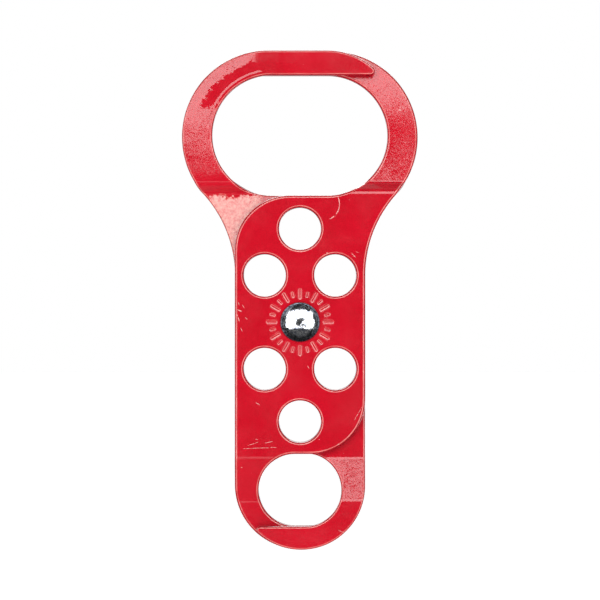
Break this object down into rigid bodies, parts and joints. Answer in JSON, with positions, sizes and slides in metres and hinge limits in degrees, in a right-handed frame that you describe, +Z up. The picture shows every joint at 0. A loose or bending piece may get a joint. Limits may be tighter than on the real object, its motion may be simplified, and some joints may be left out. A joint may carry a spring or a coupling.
{
  "type": "lockout hasp",
  "caption": "Double-jaw steel lockout hasp: two joggled enamelled plates on one rivet, opened to close round a staple and held shut by padlocks.",
  "frame": {"origin": "middle of the crown of the large jaw, on the inner edge of the rear plate's large hook, where the closed hasp hangs", "axes": "+X to the right and +Z up along the long axis, with the large jaw at the top; -Y is the front, the side with the domed rivet head; +Y is the back and the pivot's axis"},
  "size_m": [0.0736, 0.0109, 0.1556],
  "materials": {
    "enamel_front": "glossy red baked enamel over pressed steel",
    "enamel_rear": "glossy red baked enamel over pressed steel",
    "rivet_plating": "bright nickel or zinc plating, polished"
  },
  "bodies": {
    "rear": {"rear_plate": "enamel_rear", "pivot_rivet": "rivet_plating"},
    "front": {"front_plate": "enamel_front"}
  },
  "joints": [
    {"name": "jaw_pivot", "type": "hinge", "parent": "rear", "child": "front", "pos_m": [0, 0.00165, -0.077], "axis": [0, 1, 0], "range_deg": [-18, 115]}
  ]
}
